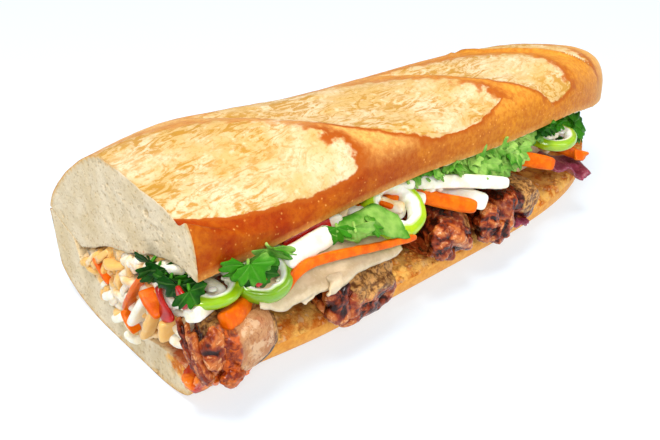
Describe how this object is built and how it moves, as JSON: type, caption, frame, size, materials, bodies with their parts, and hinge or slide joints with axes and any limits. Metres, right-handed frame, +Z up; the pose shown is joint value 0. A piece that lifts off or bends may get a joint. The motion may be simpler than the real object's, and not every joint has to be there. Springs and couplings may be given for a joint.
{
  "type": "banh mi sandwich",
  "caption": "Banh mi: half a split baguette with open scores in its crust, filled with glazed grilled pork, pickled daikon and carrot, chilli slices and herbs.",
  "frame": {"origin": "middle of the sandwich's footprint, on the surface it lies on", "axes": "+X from the cut end to the loaf's tip, -Y the open side that shows the filling, +Z up"},
  "size_m": [0.21, 0.0908, 0.0606],
  "materials": {
    "crust": "baked crust, satin, with pale open scores",
    "pork": "grilled and glazed",
    "chilli": "wet green skin over pale flesh",
    "carrot": "wet, pickled",
    "daikon": "wet, pickled, slightly clear",
    "cabbage": "wet, pickled",
    "pickles": "heap of wet pickled sticks"
  },
  "bodies": {
    "root": {"bread_bottom": "crust", "bread_top": "crust", "pork_1": "pork", "pork_2": "pork", "pork_3": "pork", "pork_4": "pork", "jalapeno_1": "chilli", "jalapeno_2": "chilli", "jalapeno_3": "chilli", "jalapeno_4": "chilli", "carrot_1": "carrot", "carrot_2": "carrot", "carrot_3": "carrot", "carrot_4": "carrot", "carrot_5": "carrot", "daikon_1": "daikon", "daikon_2": "daikon", "daikon_3": "daikon", "daikon_4": "daikon", "daikon_slice": "daikon", "cabbage_1": "cabbage", "pickle_bed": "pickles"}
  },
  "joints": []
}
